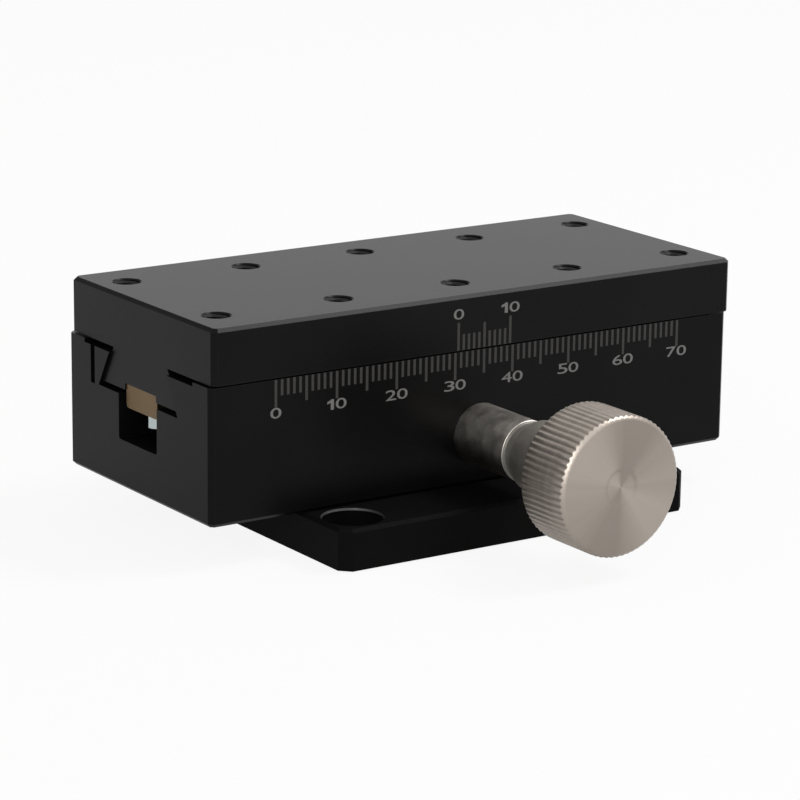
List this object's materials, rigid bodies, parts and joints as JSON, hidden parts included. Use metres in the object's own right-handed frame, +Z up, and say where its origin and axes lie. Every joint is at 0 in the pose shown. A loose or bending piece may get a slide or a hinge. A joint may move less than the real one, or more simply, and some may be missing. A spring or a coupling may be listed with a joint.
{
  "type": "linear translation stage",
  "caption": "Dovetail linear stage: a black table slides along a body on a square foot plate, driven by a knurled steel knob through a rack and pinion, with a scale and vernier.",
  "frame": {"origin": "centre of the foot plate's underside", "axes": "+X along the table's travel, -Y towards the knob, +Z up, out of the table's top"},
  "size_m": [0.0905, 0.0839, 0.034],
  "materials": {
    "anodised_foot": "black anodised, fine matt",
    "anodised_body": "black anodised, fine matt",
    "anodised_table": "black anodised, fine satin",
    "black_screws": "black oxide steel",
    "steel_screws": "plain steel",
    "polished_pins": "ground and polished steel",
    "rack_brass": "milled brass, slightly dull",
    "sleeve_steel": "turned stainless steel, darker satin",
    "bush_bronze": "plain bronze",
    "spring_steel": "spring steel",
    "nylon": "natural nylon",
    "shaft_steel": "turned steel",
    "knob_steel": "turned and straight-knurled stainless steel"
  },
  "bodies": {
    "base": {"base_plate": "anodised_foot", "base_screws": "black_screws", "slide_body": "anodised_body", "gib_screws": "black_screws", "pinion_sleeve": "sleeve_steel", "sleeve_set_screw": "black_screws", "front_bush": "bush_bronze", "rear_bush": "bush_bronze", "thrust_washers": "bush_bronze", "disc_spring": "spring_steel", "knob_washer": "nylon"},
    "table": {"table_plate": "anodised_table", "rack": "rack_brass", "rack_screws": "steel_screws", "stop_pins": "polished_pins"},
    "pinion": {"pinion_shaft": "shaft_steel", "pinion_gear": "shaft_steel", "pinion_pin": "polished_pins", "knob": "knob_steel", "knob_set_screws": "black_screws"}
  },
  "joints": [
    {"name": "table_slide", "type": "slide", "parent": "base", "child": "table", "axis": [1, 0, 0], "range_m": [-0.0355, 0.0345]},
    {"name": "knob_turn", "type": "hinge", "parent": "base", "child": "pinion", "pos_m": [0, 0, 0.01335], "axis": [0, 1, 0], "range_deg": [-407, 395.5]}
  ],
  "couplings": [
    {"joint": "knob_turn", "follows": "table_slide", "rad_per_m": 200}
  ]
}
